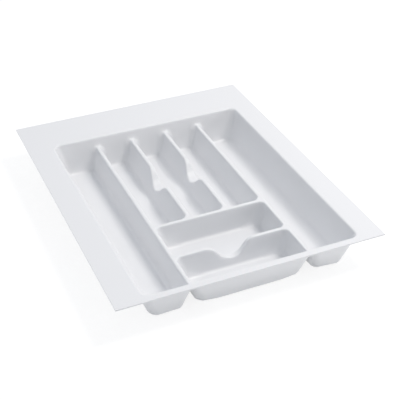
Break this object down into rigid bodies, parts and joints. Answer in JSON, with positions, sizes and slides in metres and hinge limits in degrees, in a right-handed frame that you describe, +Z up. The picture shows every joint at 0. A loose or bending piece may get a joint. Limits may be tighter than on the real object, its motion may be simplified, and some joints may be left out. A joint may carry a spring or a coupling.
{
  "type": "cutlery tray",
  "caption": "Drop-in plastic drawer insert with a wide trimming flange and open rounded bins for cutlery, with finger scoops in some of the dividers.",
  "frame": {"origin": "middle of the flange's rectangle, on the plane that the bins' undersides stand on", "axes": "+X to the right, +Y to the back where the flange is widest, +Z up out of the drawer"},
  "size_m": [0.432, 0.54, 0.0585],
  "materials": {
    "white_sheet": "satin white, vacuum formed"
  },
  "bodies": {
    "root": {"left_long_bin": "white_sheet", "left_narrow_bin": "white_sheet", "middle_narrow_bin": "white_sheet", "right_narrow_bin": "white_sheet", "right_long_bin": "white_sheet", "rear_cross_bin": "white_sheet", "front_cross_bin": "white_sheet", "back_flange": "white_sheet", "front_flange": "white_sheet", "left_flange": "white_sheet", "right_flange": "white_sheet"}
  },
  "joints": []
}
